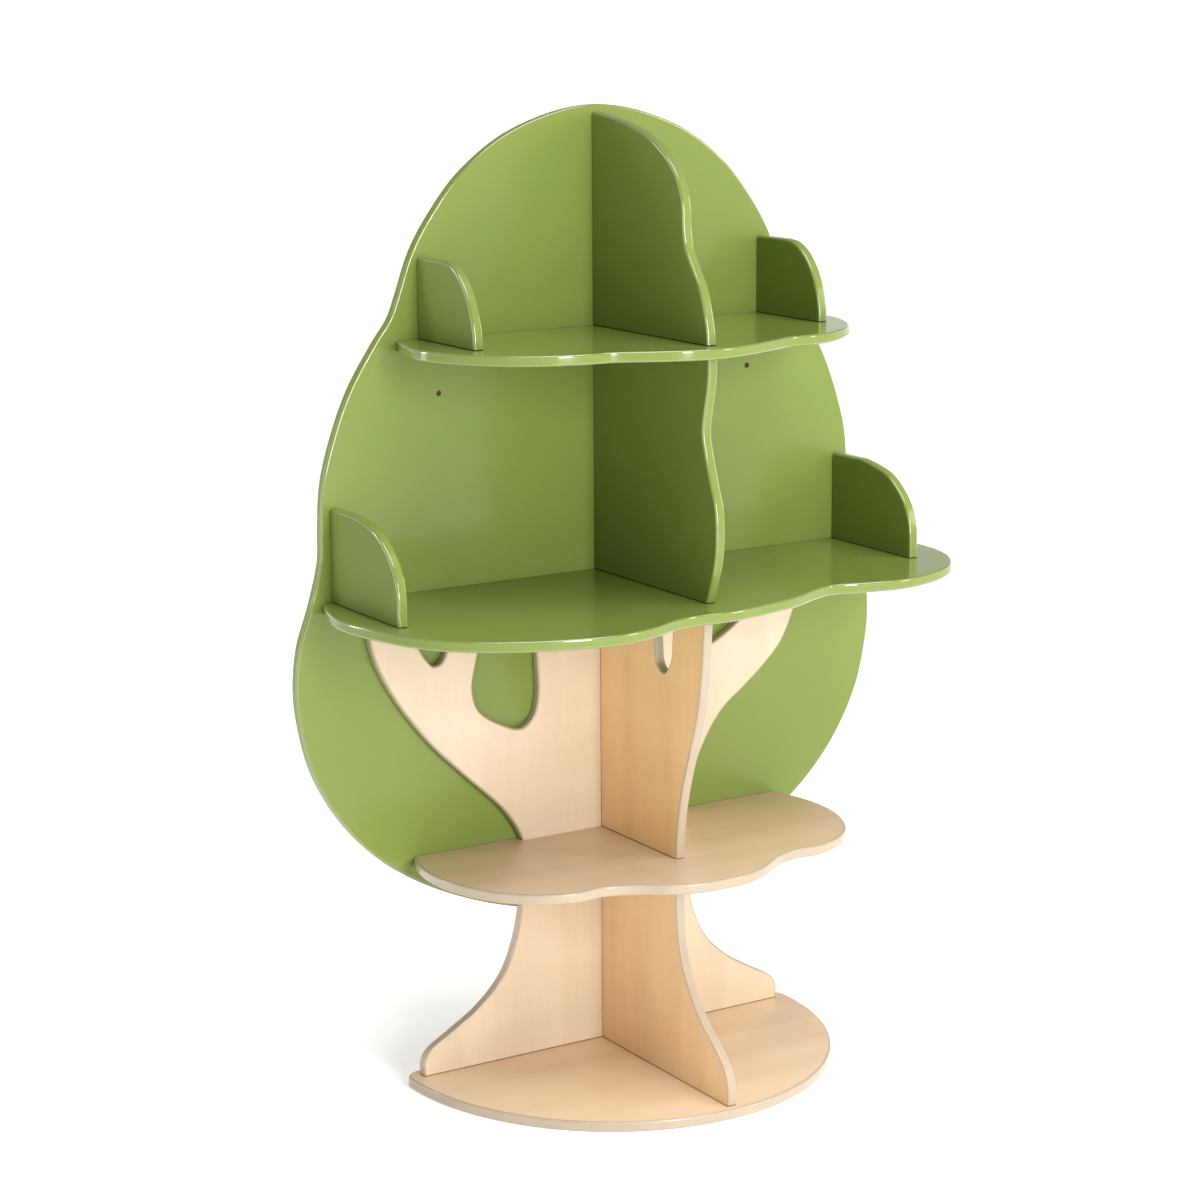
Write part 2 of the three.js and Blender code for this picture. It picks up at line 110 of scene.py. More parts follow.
# Cut-outs between the boughs, from the left end of each to its right end:
# share of the boughs' half width, share of their height
SMALL_NOTCH_SHARES = [
    (-0.848, 1), (-0.789, 0.832), (-0.76, 0.784), (-0.731, 0.757), (-0.702, 0.764),
    (-0.679, 0.8), (-0.66, 1),
]
LARGE_NOTCH_SHARES = [
    (-0.508, 1), (-0.544, 0.791), (-0.571, 0.641), (-0.544, 0.558), (-0.456, 0.495),
    (-0.366, 0.465), (-0.314, 0.502), (-0.291, 0.588), (-0.294, 0.704), (-0.311, 1),
]
RIGHT_NOTCH_SHARES = [
    (0.335, 1), (0.335, 0.83), (0.35, 0.72), (0.4, 0.667), (0.485, 0.688),
    (0.608, 0.761), (0.718, 0.87), (0.77, 1),
]

# Front edges of the shelves from the back left corner round: share of the half width, share of the depth
TOP_SHELF_SHARES = [
    (-0.932, 0), (-0.98, 0.164), (-1, 0.32), (-0.965, 0.484), (-0.863, 0.66), (-0.701, 0.789),
    (-0.547, 0.84), (-0.424, 0.852), (-0.288, 0.918), (-0.137, 0.984), (0, 1), (0.151, 0.965),
    (0.295, 0.898), (0.424, 0.84), (0.547, 0.836), (0.683, 0.785), (0.845, 0.641), (0.942, 0.453),
    (0.975, 0.305), (0.964, 0.145), (0.928, 0),
]
MIDDLE_SHELF_SHARES = [
    (-0.893, 0), (-0.93, 0.129), (-0.95, 0.291), (-0.925, 0.495), (-0.878, 0.67), (-0.808, 0.79),
    (-0.7, 0.89), (-0.563, 0.964), (-0.42, 1), (-0.295, 0.971), (-0.2, 0.916), (-0.12, 0.893),
    (-0.02, 0.906), (0.125, 0.874), (0.25, 0.829), (0.345, 0.767), (0.42, 0.735), (0.513, 0.767),
    (0.625, 0.796), (0.75, 0.767), (0.875, 0.68), (0.963, 0.534), (1, 0.346), (0.982, 0.155),
    (0.92, 0),
]
LOWER_SHELF_HALF_SHARES = [
    (0.943, 0), (0.981, 0.114), (1, 0.274), (0.977, 0.449), (0.891, 0.639), (0.766, 0.76),
    (0.611, 0.821), (0.491, 0.814), (0.37, 0.856), (0.242, 0.943), (0.117, 0.992),
]

# Front edges of the fins from the foot up: share of the reach, share of the height
UPPER_FIN_SHARES = [
    (1, 0), (0.993, 0.071), (0.932, 0.247), (0.869, 0.335), (0.808, 0.42), (0.787, 0.506),
    (0.774, 0.636), (0.701, 0.77), (0.52, 0.887), (0.271, 0.962), (0, 1),
]
MIDDLE_FIN_SHARES = [
    (0.921, 0), (0.979, 0.144), (1, 0.255), (0.992, 0.395), (0.962, 0.472), (0.908, 0.609),
    (0.887, 0.69), (0.9, 0.771), (0.929, 0.889), (0.937, 1),
]
LOWER_FIN_SHARES = [
    (0.737, 0), (0.747, 0.105), (0.788, 0.261), (0.862, 0.431), (0.935, 0.6), (0.977, 0.783), (1, 1),
]
LOWER_FIN_NOTCH_SHARES = [
    (0.705, 1), (0.696, 0.868), (0.677, 0.77), (0.618, 0.722), (0.558, 0.746), (0.539, 0.834),
    (0.521, 1),
]
BASE_FIN_SHARES = [
    (1, 0), (1, 0.088), (0.974, 0.16), (0.913, 0.232), (0.792, 0.336), (0.691, 0.472),
    (0.63, 0.624), (0.608, 0.792), (0.608, 1),
]

# Curved front of a bookend from its foot up to its flat top: share of the depth, share of the height
TOP_BOOKEND_SHARES = [
    (1, 0), (0.998, 0.15), (0.955, 0.4), (0.872, 0.64), (0.744, 0.844), (0.592, 0.968), (0.44, 1),
]
MIDDLE_BOOKEND_SHARES = [
    (1, 0), (0.99, 0.362), (0.929, 0.587), (0.829, 0.752), (0.697, 0.886), (0.529, 0.958), (0.361, 1),
]

# Camera, fitted to the photograph's perspective: place, angles in radians, lens in millimetres
CAMERA_PLACE = (-1.7745, -2.7085, 1.2655)
CAMERA_YAW = 0.558
CAMERA_PITCH = 0.2122
CAMERA_ROLL = -0.0057
CAMERA_LENS = 88.55

# Tones as seen on screen, 0 to 255
BRIGHTEST = 255
WHITE_TONE = (255, 255, 255)
GREEN_FACE = (118, 134, 63)
# The fins' and bookends' paint: the face green a little darker, painted shade for their shaded sides
GREEN_SATIN_SHADED = (112, 128, 58)
# The roundovers' green is a little darker than the face's: painted shade for a board's side band, and an
# offset for the roundovers' stronger gloss
GREEN_RIM_SHADED = (114, 130, 60)
# Painted shade: dark tones for the line beside each sawn end, standing in for the shadow in the gap
GREEN_JOINT_SHADE = (26, 32, 10)
GREEN_JOINT_SHADE_DARK = (16, 20, 6)
MAPLE_JOINT_SHADE = (128, 92, 58)
MAPLE_JOINT_SHADE_DARK = (104, 72, 44)
MAPLE_TONES = {
    "trunk_panel": (211, 192, 166),
    "base_panel": (223, 199, 167),
    "lower_shelf": (216, 188, 161),
    # The lower fin's tone is warmer than the other boards': partly the veneer's own variation, partly
    # painted warm bounce light for its side, which stands in shade
    "lower_fin": (244, 203, 149),
    "base_fin": (228, 194, 148),
}

# How much lighter and darker than its tone a board's colour wanders
CLOUD_LIFT = 3
BAND_DEPTH = 4

# Nearly all values of a noise lie between these
NOISE_LOW = 0.3
NOISE_HIGH = 0.7

# Veneer: the grain and the flecks are drawn out along the board by one over these shares, and each
# board's veneer comes from its own place in the log
GRAIN_SHARE = 0.045
FLECK_SHARE = 0.18
VENEER_STEP = 0.37

# Stage and lights
FLOOR_SIDE = 400
LIGHT_TARGET = (0, 0, 0.6)
KEY_PLACE = (-0.1, -4.3, 1.45)
KEY_SIZE = (0.7, 2.2)
KEY_COLOUR = (0.98, 1, 1.02)
KEY_POWER = 146
FILL_PLACE = (3.0, -2.8, 1.9)
FILL_SIZE = (0.8, 1.6)
FILL_POWER = 44
FILL_COLOUR = (1, 0.96, 0.88)
RIM_PLACE = (-2.9, 2.6, 1.2)
RIM_SIZE = (0.5, 2.4)
RIM_POWER = 30
RIM_COLOUR = (1, 1, 1)
OVERHEAD_FROM = (0.1, -0.3, 1)
OVERHEAD_SPREAD = math.radians(45)
OVERHEAD_STRENGTH = 2.2
HORIZON_STRENGTH = 1.0
ZENITH_STRENGTH = 0.33
HORIZON_TOP = 0.1
ZENITH_START = 0.3
FLOOR_GLOW = 0.26
WHITE = (1, 1, 1, 1)

# Material slots of a board, after slot 0 of its faces: the roundover, the insides of holes, the line of
# painted shade beside a sawn end, and the flat band between the two roundovers
EDGE_SLOT = 1
HOLE_SLOT = 2
JOINT_SHADE_SLOT = 3
BAND_SLOT = 4

QUARTER_TURN = math.pi / 2
RIGHT = Vector((1, 0, 0))
BACK = Vector((0, 1, 0))
UP = Vector((0, 0, 1))

# A screw's mesh points down, and is turned to point to the front or up
POINTS_FORWARD = Matrix.Rotation(-QUARTER_TURN, 4, "X")
POINTS_UP = Matrix.Rotation(2 * QUARTER_TURN, 4, "X")

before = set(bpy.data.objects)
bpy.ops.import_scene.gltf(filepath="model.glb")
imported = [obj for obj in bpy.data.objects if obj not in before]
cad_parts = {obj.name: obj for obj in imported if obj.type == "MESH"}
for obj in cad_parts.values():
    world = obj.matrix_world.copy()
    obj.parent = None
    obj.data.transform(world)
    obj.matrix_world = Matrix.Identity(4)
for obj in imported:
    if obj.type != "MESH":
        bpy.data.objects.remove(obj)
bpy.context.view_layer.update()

trunk_low, trunk_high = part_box("trunk_panel")
crown_low, crown_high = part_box("crown_panel")
board_thickness = crown_high.y - crown_low.y
trunk_front = trunk_low.y
crown_front = crown_low.y
crown_back = crown_high.y
screw_nodes = sorted(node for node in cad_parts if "_screw_" in node)
dowel_nodes = sorted(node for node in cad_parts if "_dowel_" in node)


def smooth_line(knots, closed=False):
    """Points of a centripetal spline through the knots."""
    points = [Vector(knot) for knot in knots]
    if closed:
        before, after = [points[-1]], points[:2]
    else:
        before, after = [2 * points[0] - points[1]], [2 * points[-1] - points[-2]]
    run = before + points + after
    line = []
    for p0, p1, p2, p3 in zip(run, run[1:], run[2:], run[3:]):
        gap0, gap1, gap2 = ((b - a).length ** 0.5 for a, b in ((p0, p1), (p1, p2), (p2, p3)))
        slope1 = ((p1 - p0) / gap0 - (p2 - p0) / (gap0 + gap1) + (p2 - p1) / gap1) * gap1
        slope2 = ((p2 - p1) / gap1 - (p3 - p1) / (gap1 + gap2) + (p3 - p2) / gap2) * gap1
        for step in range(STEPS_PER_KNOT):
            t = step / STEPS_PER_KNOT
            bend = (2 * p1 - 2 * p2 + slope1 + slope2) * t**3
            line.append(bend + (3 * p2 - 3 * p1 - 2 * slope1 - slope2) * t**2 + slope1 * t + p1)
    return line if closed else line + [points[-1]]


def arc(centre, radius_across, radius_up, start, end, steps):
    """Points along part of an ellipse, between two angles."""
    line = []
    for step in range(steps + 1):
        angle = start + (end - start) * step / steps
        line.append(Vector(centre) + Vector((radius_across * math.cos(angle), radius_up * math.sin(angle))))
    return line


def scaled(shares, across, up, from_across=0, from_up=0):
    return [(from_across + a * across, from_up + b * up) for a, b in shares]


def mirrored(line):
    return [Vector((-point[0], point[1])) for point in reversed(line)]


def reach_of(shares):
    """How far a smooth line through the shares swings out, which is a little beyond its knots."""
    return max(abs(point.x) for point in smooth_line(shares))


def carried_past(line, height, top_run=OVERRUN):
    """A line that ends on a board's foot or top, carried past that to be cut off square."""
    def beyond(end):
        return Vector((end.x, height + top_run if end.y > height / 2 else -OVERRUN))

    return [beyond(line[0]), *line, beyond(line[-1])]


def tidied(outline):
    """The outline counterclockwise, without points that repeat the one before."""
    line = [p for i, p in enumerate(outline) if (p - outline[i - 1]).length > SHORTEST_SIDE]
    area = sum(a.cross(b) for a, b in zip(line, line[1:] + line[:1]))
    return line if area > 0 else line[::-1]


def inward_ways(outline):
    """For each corner, the way that it moves when both of its sides move in by one."""
    ways = []
    for before, point, after in zip(outline[-1:] + outline[:-1], outline, outline[1:] + outline[:1]):
        sides = [(point - before).normalized(), (after - point).normalized()]
        normal1, normal2 = (Vector((-side.y, side.x)) for side in sides)
        ways.append((normal1 + normal2) / (1 + normal1.dot(normal2)))
    return ways


def roundover_profile(thickness):
    """Inset and height of each ring of a board's edge, from the underside to the top."""
    turns = [step / ROUNDOVER_STEPS * QUARTER_TURN for step in range(ROUNDOVER_STEPS + 1)]
    lower = [(EDGE_RADIUS * (1 - math.sin(t)), EDGE_RADIUS * (1 - math.cos(t))) for t in turns]
    return lower + [(inset, thickness - height) for inset, height in reversed(lower)]


def cut_square(bm, point, outward):
    """Cuts a board off at a plane, closes the cut and gives the faces that close it."""
    everything = bm.verts[:] + bm.edges[:] + bm.faces[:]
    bmesh.ops.bisect_plane(
        bm, geom=everything, dist=CUT_TOLERANCE, plane_co=point, plane_no=outward, clear_outer=True
    )
    filled = bmesh.ops.holes_fill(bm, edges=[edge for edge in bm.edges if edge.is_boundary])
    return filled["faces"]


def ease(bm, sawn):
    """Takes the sharpness off the edges round sawn ends."""
    corners = {edge for face in sawn if face.is_valid for edge in face.edges}
    bmesh.ops.bevel(
        bm,
        geom=list(corners),
        affect="EDGES",
        offset=SAWN_BEVEL,
        segments=SAWN_BEVEL_STEPS,
        profile=SAWN_BEVEL_ROUNDNESS,
        clamp_overlap=True,
    )


def paint_joint_shade(bm, point, outward):
    """Marks off a thin strip beside a sawn end for painted shade, the shadow line at the next board."""
    inside = point - JOINT_SHADE_WIDTH * outward
    everything = bm.verts[:] + bm.edges[:] + bm.faces[:]
    bmesh.ops.bisect_plane(bm, geom=everything, dist=CUT_TOLERANCE, plane_co=inside, plane_no=outward)
    for face in bm.faces:
        if (face.calc_center_median() - inside).dot(outward) > 0:
            face.material_index = JOINT_SHADE_SLOT


def board_mesh(name, outline, place, cuts):
    """A board with rounded edges, from an outline and cuts that lie flat, moved to the place."""
    line = tidied(outline)
    ways = inward_ways(line)
    bm = bmesh.new()
    rings = [
        [bm.verts.new((*(p + inset * way), height)) for p, way in zip(line, ways)]
        for inset, height in roundover_profile(board_thickness)
    ]
    roundover = [EDGE_SLOT] * ROUNDOVER_STEPS
    for lower, upper, slot in zip(rings, rings[1:], [*roundover, BAND_SLOT, *roundover]):
        for i in range(len(line)):
            bm.faces.new((lower[i - 1], lower[i], upper[i], upper[i - 1])).material_index = slot
    bm.faces.new(rings[0][::-1])
    bm.faces.new(rings[-1])
    planes = [(Vector((*point, 0)), Vector((*outward, 0))) for point, outward in cuts]
    sawn = [face for point, outward in planes for face in cut_square(bm, point, outward)]
    ease(bm, sawn)
    for point, outward in planes:
        paint_joint_shade(bm, point, outward)
    bm.transform(place)
    bmesh.ops.recalc_face_normals(bm, faces=bm.faces)
    return to_mesh(bm, name)


def to_mesh(bm, name):
    mesh = bpy.data.meshes.new(name)
    bm.to_mesh(mesh)
    bm.free()
    return mesh


def add_object(name, mesh):
    made = bpy.data.objects.new(name, mesh)
    bpy.context.scene.collection.objects.link(made)
    return made


def basis(across, up, thick, origin):
    """Where something made flat goes: which ways its three axes point, and its origin."""
    return Matrix.Translation(origin) @ Matrix((across, up, thick)).transposed().to_4x4()


def lying(origin):
    """For a board that lies flat, with its outline's up to the back."""
    return basis(RIGHT, BACK, UP, origin)


def standing(origin):
    """For a board that stands across, with its thickness to the front."""
    return basis(RIGHT, UP, -BACK, origin)


def upright_fin(origin):
    """For a board that stands front to back, with its thickness to the left."""
    return basis(-BACK, UP, -RIGHT, origin)


def carve(target, cutter):
    """Takes the cutter's shape away from the target."""
    cut = target.modifiers.new("cut", "BOOLEAN")
    cut.operation = "DIFFERENCE"
    cut.solver = "EXACT"
    cut.object = cutter
    depsgraph = bpy.context.evaluated_depsgraph_get()
    mesh = bpy.data.meshes.new_from_object(target.evaluated_get(depsgraph))
    target.modifiers.clear()
    target.data = mesh


def shade_smoothly(piece):
    """Round edges shade smoothly, and flat faces stay flat."""
    piece.data.shade_smooth()
    piece.data.set_sharp_from_angle(angle=SHARP_ANGLE)
    weighted = piece.modifiers.new("even normals", "WEIGHTED_NORMAL")
    weighted.keep_sharp = True


def crown_mesh():
    """The crown, whose left half mirrors its right half."""
    half_width, height = crown_high.x, crown_high.z - crown_low.z
    right = scaled(CROWN_SHARES, half_width, height)
    left = [(-a, b) for a, b in reversed(right)]
    outline = smooth_line([(0, height), *right, (0, 0), *left], closed=True)
    return board_mesh("crown_board", outline, standing((0, crown_back, crown_low.z)), [])


def trunk_mesh():
    """The trunk: feet below the neck, boughs above it, and the cut-outs between the boughs."""
    height = trunk_high.z - trunk_low.z
    lower_shelf_low, lower_shelf_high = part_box("lower_shelf")
    neck = (lower_shelf_low.z + lower_shelf_high.z) / 2 - trunk_low.z
    rise = height - neck
    half_width = -trunk_low.x
    foot = scaled(FOOT_SHARES, FOOT_HALF_WIDTH - NECK_HALF_WIDTH, neck, NECK_HALF_WIDTH)

    def side(shares):
        bough = scaled(shares, half_width - NECK_HALF_WIDTH, rise, NECK_HALF_WIDTH, neck)
        return smooth_line([*foot, (NECK_HALF_WIDTH, neck), *bough])

    notches = [
        smooth_line(scaled(shares, half_width, rise, 0, neck))[::-1]
        for shares in (RIGHT_NOTCH_SHARES, LARGE_NOTCH_SHARES, SMALL_NOTCH_SHARES)
    ]
    lines = [side(RIGHT_BOUGH_SHARES), *notches, mirrored(side(LEFT_BOUGH_SHARES))]
    outline = [point for line in lines for point in carried_past(line, height)]
    cuts = [((0, 0), (0, -1)), ((0, height), (0, 1))]
    return board_mesh("trunk_board", outline, standing((0, trunk_high.y, trunk_low.z)), cuts)


def shelf_mesh(node, shares):
    """A shelf whose front edge follows the shares, cut off square at the crown."""
    low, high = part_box(node)
    half_width, depth = max(high.x, -low.x), crown_front - low.y
    front = smooth_line(scaled(shares, half_width / reach_of(shares), -depth))
    outline = [Vector((front[0].x, OVERRUN)), *front, Vector((front[-1].x, OVERRUN))]
    return board_mesh(node + "_board", outline, lying((0, crown_front, low.z)), [((0, 0), (0, 1))])


def base_mesh():
    """The base: half an ellipse in front, and a board with two round corners behind it."""
    low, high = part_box("base_panel")
    radius = BASE_CORNER_RADIUS
    middle_x, middle_y = high.x - radius, high.y - trunk_front - radius
    half_turn, full_turn = 2 * QUARTER_TURN, 4 * QUARTER_TURN
    front = arc((0, 0), high.x, trunk_front - low.y, half_turn, full_turn, BASE_CURVE_STEPS)
    right = arc((middle_x, middle_y), radius, radius, 0, QUARTER_TURN, CORNER_STEPS)
    left = arc((-middle_x, middle_y), radius, radius, QUARTER_TURN, half_turn, CORNER_STEPS)
    return board_mesh("base_board", [*front, *right, *left], lying((0, trunk_front, low.z)), [])


def fin_mesh(node, share_lists, top_run=OVERRUN):
    """A fin from the line of its front edge and of any notch. A top run of 0 leaves its top uncut."""
    low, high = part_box(node)
    height, behind = high.z - low.z, high.y - trunk_front
    reach = (trunk_front - low.y) / reach_of(share_lists[0])
    lines = [smooth_line(scaled(shares, reach, height)) for shares in share_lists]
    outline = [point for line in lines for point in carried_past(line, height, top_run)]
    outline += [Vector((-behind - OVERRUN, height + top_run)), Vector((-behind - OVERRUN, -OVERRUN))]
    cuts = [((0, 0), (0, -1)), ((-behind, 0), (-1, 0))]
    if top_run:
        cuts.append(((0, height), (0, 1)))
    return board_mesh(node + "_board", outline, upright_fin((high.x, trunk_front, low.z)), cuts)


def bookend_mesh(node, shares):
    """A bookend whose front follows the shares, with a small round corner at its back."""
    low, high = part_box(node)
    depth, height, radius = high.y - low.y, high.z - low.z, BOOKEND_CORNER_RADIUS
    middle = (radius, height - radius)
    corner = arc(middle, radius, radius, QUARTER_TURN, 2 * QUARTER_TURN, CORNER_STEPS)
    front = smooth_line(scaled(shares, depth / reach_of(shares), height))
    outline = [Vector((front[0].x, -OVERRUN)), *front, *corner, Vector((0, -OVERRUN))]
    return board_mesh(node + "_board", outline, upright_fin((high.x, high.y, low.z)), [((0, 0), (0, -1))])


def turned_mesh(name, profile, flute=0):
    """A solid turned on Z from (radius, height) pairs that start and end on the axis."""
    bm = bmesh.new()
    rings = []
    for radius, height in profile[1:-1]:
        ring = []
        for side in range(HARDWARE_SIDES):
            turn = 4 * QUARTER_TURN * side / HARDWARE_SIDES
            reach = radius - flute * (side % 2)
            ring.append(bm.verts.new((reach * math.cos(turn), reach * math.sin(turn), height)))
        rings.append(ring)
    for lower, upper in zip(rings, rings[1:]):
        for i in range(HARDWARE_SIDES):
            bm.faces.new((lower[i - 1], lower[i], upper[i], upper[i - 1]))
    for ring, height in ((rings[0], profile[0][1]), (rings[-1], profile[-1][1])):
        tip = bm.verts.new((0, 0, height))
        for i in range(HARDWARE_SIDES):
            bm.faces.new((ring[i - 1], ring[i], tip))
    bmesh.ops.recalc_face_normals(bm, faces=bm.faces)
    return to_mesh(bm, name)


def screw_hole_mesh(length):
    """What a board loses for one screw, with the head's seat open to the face behind it."""
    spare = HARDWARE_CLEARANCE
    return turned_mesh("screw_hole", [
        (0, -length - spare),
        (SCREW_SHANK_RADIUS + spare, SCREW_POINT - length),
        (SCREW_SHANK_RADIUS + spare, -SCREW_HEAD_DEPTH - spare),
        (SCREW_HEAD_RADIUS + spare, -SCREW_RIM - spare),
        (SCREW_HEAD_RADIUS + spare, OVERRUN),
        (0, OVERRUN),
    ])


def screw_mesh(length):
    """A countersunk screw: head with a cross recess, plain neck, thread and point."""
    profile = [(0, -length), (SCREW_ROOT_RADIUS, SCREW_POINT - length)]
    height = SCREW_POINT - length
    while height < -SCREW_HEAD_DEPTH - SCREW_PLAIN_SHANK - THREAD_PITCH:
        profile.append((SCREW_SHANK_RADIUS, height + THREAD_PITCH / 2))
        profile.append((SCREW_ROOT_RADIUS, height + THREAD_PITCH))
        height += THREAD_PITCH
    profile += [
        (SCREW_ROOT_RADIUS, -SCREW_HEAD_DEPTH),
        (SCREW_HEAD_RADIUS, -SCREW_RIM),
        (SCREW_HEAD_RADIUS, 0),
        (0, 0),
    ]
    screw = add_object("screw_blank", turned_mesh("screw", profile))
    cross = add_object("recess_cutter", cross_mesh())
    carve(screw, cross)
    mesh = screw.data
    bpy.data.objects.remove(cross)
    bpy.data.objects.remove(screw)
    return mesh


def cross_mesh():
    """A prism with a cross for its outline, half of it above the screw's head."""
    near, far = RECESS_HALF_WIDTH, RECESS_REACH
    arm = [Vector((far, -near)), Vector((far, near)), Vector((near, near))]
    turns = [Matrix.Rotation(quarter * QUARTER_TURN, 2) for quarter in range(4)]
    outline = [turn @ point for turn in turns for point in arm]
    bm = bmesh.new()
    floor, lid = ([bm.verts.new((*point, side * RECESS_DEPTH)) for point in outline] for side in (-1, 1))
    for i in range(len(outline)):
        bm.faces.new((floor[i - 1], floor[i], lid[i], lid[i - 1]))
    bm.faces.new(floor[::-1])
    bm.faces.new(lid)
    return to_mesh(bm, "recess_cutter")


def dowel_mesh(length, radius):
    end = length / 2
    return turned_mesh("dowel", [
        (0, -end),
        (radius - DOWEL_CHAMFER, -end),
        (radius, DOWEL_CHAMFER - end),
        (radius, end - DOWEL_CHAMFER),
        (radius - DOWEL_CHAMFER, end),
        (0, end),
    ], flute=DOWEL_FLUTE)


def screw_place(node):
    """Where a screw's head lies and which way it points, from the shape of its node's box."""
    low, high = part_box(node)
    middle, size = (low + high) / 2, high - low
    if size.y > size.z:
        return Matrix.Translation((middle.x, high.y, middle.z)) @ POINTS_FORWARD, size.y
    return Matrix.Translation((middle.x, middle.y, low.z)) @ POINTS_UP, size.z


def hole_cutter():
    """One object with the shape of every hole that the boards are drilled with."""
    bm = bmesh.new()
    for node in screw_nodes:
        place, length = screw_place(node)
        mesh = screw_hole_mesh(length)
        mesh.transform(place)
        bm.from_mesh(mesh)
    for node in dowel_nodes:
        low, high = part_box(node)
        radius = (high.x - low.x) / 2 + HARDWARE_CLEARANCE
        length = high.z - low.z + 2 * HARDWARE_CLEARANCE
        mesh = dowel_mesh(length, radius)
        mesh.transform(Matrix.Translation((low + high) / 2))
        bm.from_mesh(mesh)
    for side in (-1, 1):
        end = board_thickness / 2 + OVERRUN
        mesh = turned_mesh("anchor_hole", [
            (0, -end), (ANCHOR_HOLE_RADIUS, -end), (ANCHOR_HOLE_RADIUS, end), (0, end),
        ])
        middle = (side * ANCHOR_HOLE_HALF_SPACING, crown_front + board_thickness / 2, ANCHOR_HOLE_HEIGHT)
        mesh.transform(Matrix.Translation(middle) @ POINTS_FORWARD)
        bm.from_mesh(mesh)
    for face in bm.faces:
        face.material_index = HOLE_SLOT
    cutter = add_object("hole_cutter", to_mesh(bm, "hole_cutter"))

    # Empty slots, so that the faces of a hole take the number of their slot along to the board
    for _ in range(HOLE_SLOT + 1):
        cutter.data.materials.append(None)
    return cutter


def trunk_slot_cutter():
    """The block that lets the lower shelf in round the trunk."""
    low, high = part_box("lower_shelf")
    half_width = NECK_HALF_WIDTH + TRUNK_NOTCH_CLEARANCE
    depth = crown_front - trunk_front + OVERRUN
    size = (2 * half_width, depth, high.z - low.z + 2 * OVERRUN)
    middle = (0, trunk_front + depth / 2, (low.z + high.z) / 2)
    bm = bmesh.new()
    bmesh.ops.create_cube(bm, size=1)
    bm.transform(Matrix.Translation(middle) @ Matrix.Diagonal((*size, 1)))
    return add_object("slot_cutter", to_mesh(bm, "slot_cutter"))


def linear_colour(tone):
    """A tone as seen on screen, as the colour that a shader takes, by the curve of the sRGB standard."""
    def linear(channel):
        value = channel / BRIGHTEST
        return value / 12.92 if value <= 0.04045 else ((value + 0.055) / 1.055) ** 2.4

    return (*map(linear, tone), 1)


def shifted(tone, change):
    """The tone with the same change to its red, green and blue."""
    return [channel + change for channel in tone]


class Shader:
    """A material with one Principled shader, and short ways to add nodes to it."""

    def __init__(self, name, **values):
        """The values are for sockets of the shader, with coat_weight for Coat Weight and so on."""
        self.material = bpy.data.materials.new(name)
        self.material.use_nodes = True
        self.tree = self.material.node_tree
        self.principled = self.tree.nodes["Principled BSDF"]
        for key, value in values.items():
            socket = key.replace("_", " ").title().replace("Ior", "IOR")
            self.principled.inputs[socket].default_value = value

    def node(self, kind, inputs=None, **settings):
        """A new node. An input is a value or another node's output."""
        made = self.tree.nodes.new("ShaderNode" + kind)
        for key, value in settings.items():
            setattr(made, key, value)
        for key, value in (inputs or {}).items():
            if isinstance(value, bpy.types.NodeSocket):
                self.tree.links.new(value, made.inputs[key])
            else:
                made.inputs[key].default_value = value
        return made

    def coordinates(self, stretch=(1, 1, 1), shift=(0, 0, 0)):
        """A point's own coordinates on its piece, in metres before they are stretched."""
        place = self.node("TexCoord").outputs["Object"]
        mapping = self.node("Mapping", {"Vector": place, "Scale": stretch, "Location": shift})
        return mapping.outputs["Vector"]

    def noise(self, where, scale, detail=2, roughness=0.5, distortion=0):
        return self.node("TexNoise", {
            "Vector": where,
            "Scale": scale,
            "Detail": detail,
            "Roughness": roughness,
            "Distortion": distortion,
        }).outputs["Fac"]

    def ramp(self, value, dark, light, low=NOISE_LOW, high=NOISE_HIGH):
        """The dark tone where the value is low, and the light one where it is high."""
        made = self.node("ValToRGB", {"Fac": value})
        for element, place, tone in zip(made.color_ramp.elements, (low, high), (dark, light)):
            element.position = place
            element.color = linear_colour(tone)
        return made.outputs["Color"]

    def shaded(self, below, value, amount, dark, low, high):
        """Darkens the colour below by up to the amount, where the value is low."""
        tint = self.ramp(value, dark, WHITE_TONE, low, high)
        inputs = {"Fac": amount, "Color1": below, "Color2": tint}
        return self.node("MixRGB", inputs, blend_type="MULTIPLY").outputs["Color"]

    def use(self, socket, value):
        """Feeds another node's output to a socket of the Principled shader."""
        self.tree.links.new(value, self.principled.inputs[socket])

    def use_roughness(self, noise, sharpest, dullest):
        """Gloss that wanders between two roughnesses as the noise does."""
        self.use("Roughness", self.node("MapRange", {
            "Value": noise,
            "From Min": NOISE_LOW,
            "From Max": NOISE_HIGH,
            "To Min": sharpest,
            "To Max": dullest,
        }).outputs["Result"])

    def use_bump(self, height, strength, distance):
        inputs = {"Height": height, "Strength": strength, "Distance": distance}
        self.use("Normal", self.node("Bump", inputs).outputs["Normal"])


def raw_core():
    """Bare pressed fibres, which show only inside a drilled hole."""
    shader = Shader("raw_core")
    grit = shader.noise(shader.coordinates(), scale=1800, detail=3, roughness=0.7)
    dark_fibre, pale_fibre = (136, 108, 82), (170, 140, 108)
    shader.use("Base Color", shader.ramp(grit, dark_fibre, pale_fibre, low=0.35, high=0.65))
    shader.use_roughness(grit, sharpest=0.8, dullest=0.95)
    shader.use_bump(grit, strength=0.5, distance=0.0004)
    return shader.material


def joint_shade_paint(name, dark, light):
    """Painted shade for the thin line where a sawn end meets its neighbour: the shadow in the gap."""
    shader = Shader(name, specular_ior_level=0.1)
    grit = shader.noise(shader.coordinates(), scale=900, roughness=0.6)
    shader.use("Base Color", shader.ramp(grit, dark, light, low=0.35, high=0.65))
    shader.use_roughness(grit, sharpest=0.8, dullest=0.95)
    return shader.material


